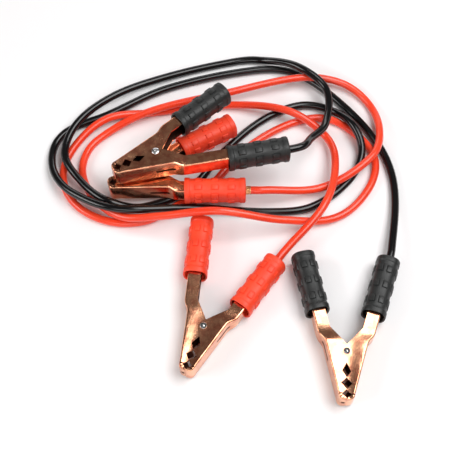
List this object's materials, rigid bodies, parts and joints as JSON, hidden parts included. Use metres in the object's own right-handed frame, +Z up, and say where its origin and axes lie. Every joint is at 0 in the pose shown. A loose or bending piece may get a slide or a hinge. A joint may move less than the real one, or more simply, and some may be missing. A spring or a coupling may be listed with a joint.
{
  "type": "jumper cable set",
  "caption": "Pair of car jumper cables, one red and one black, with a copper-plated spring clamp on each end, lying loose.",
  "frame": {"origin": "on the floor, under the middle of the clamps", "axes": "+Z up; the front clamps' handles point about +Y, away from the tips"},
  "size_m": [0.336, 0.3678, 0.0561],
  "materials": {
    "copper_plate": "copper-plated steel sheet, bright and lightly rolled",
    "zinc": "zinc-plated, bright",
    "spring_steel": "oiled spring wire",
    "black_grip": "soft vinyl, satin",
    "red_grip": "soft vinyl, satin",
    "black_cable": "soft vinyl jacket, glossy",
    "red_cable": "soft vinyl jacket, glossy",
    "strands": "bare stranded conductor"
  },
  "bodies": {
    "root": {"black_front_cable_jaw": "copper_plate", "black_front_rivet": "zinc", "black_front_spring": "spring_steel", "black_front_cable_grip": "black_grip", "black_front_core": "strands", "red_front_cable_jaw": "copper_plate", "red_front_rivet": "zinc", "red_front_spring": "spring_steel", "red_front_cable_grip": "red_grip", "red_front_core": "strands", "black_back_cable_jaw": "copper_plate", "black_back_rivet": "zinc", "black_back_spring": "spring_steel", "black_back_cable_grip": "black_grip", "black_back_core": "strands", "red_back_cable_jaw": "copper_plate", "red_back_rivet": "zinc", "red_back_spring": "spring_steel", "red_back_cable_grip": "red_grip", "red_back_core": "strands", "black_cable": "black_cable", "red_cable": "red_cable"},
    "black_front_free_side": {"black_front_free_jaw": "copper_plate", "black_front_free_grip": "black_grip"},
    "red_front_free_side": {"red_front_free_jaw": "copper_plate", "red_front_free_grip": "red_grip"},
    "black_back_free_side": {"black_back_free_jaw": "copper_plate", "black_back_free_grip": "black_grip"},
    "red_back_free_side": {"red_back_free_jaw": "copper_plate", "red_back_free_grip": "red_grip"}
  },
  "joints": [
    {"name": "black_front_hinge", "type": "hinge", "parent": "root", "child": "black_front_free_side", "pos_m": [0.0795, -0.1091, 0.0122], "axis": [0, 0, -1], "range_deg": [0, 28], "stiffness_Nm_per_rad": 1.5, "springref_deg": -20.05, "deforming": ["black_front_spring"]},
    {"name": "red_front_hinge", "type": "hinge", "parent": "root", "child": "red_front_free_side", "pos_m": [-0.0431, -0.0862, 0.0122], "axis": [0, 0, -1], "range_deg": [0, 28], "stiffness_Nm_per_rad": 1.5, "springref_deg": -20.05, "deforming": ["red_front_spring"]},
    {"name": "black_back_hinge", "type": "hinge", "parent": "root", "child": "black_back_free_side", "pos_m": [-0.088, 0.0715, 0.0439], "axis": [0, 0, -1], "range_deg": [0, 28], "stiffness_Nm_per_rad": 1.5, "springref_deg": -20.05, "deforming": ["black_back_spring"]},
    {"name": "red_back_hinge", "type": "hinge", "parent": "root", "child": "red_back_free_side", "pos_m": [-0.0922, 0.0628, 0.0202], "axis": [0, 0, -1], "range_deg": [0, 28], "stiffness_Nm_per_rad": 1.5, "springref_deg": -20.05, "deforming": ["red_back_spring"]}
  ]
}
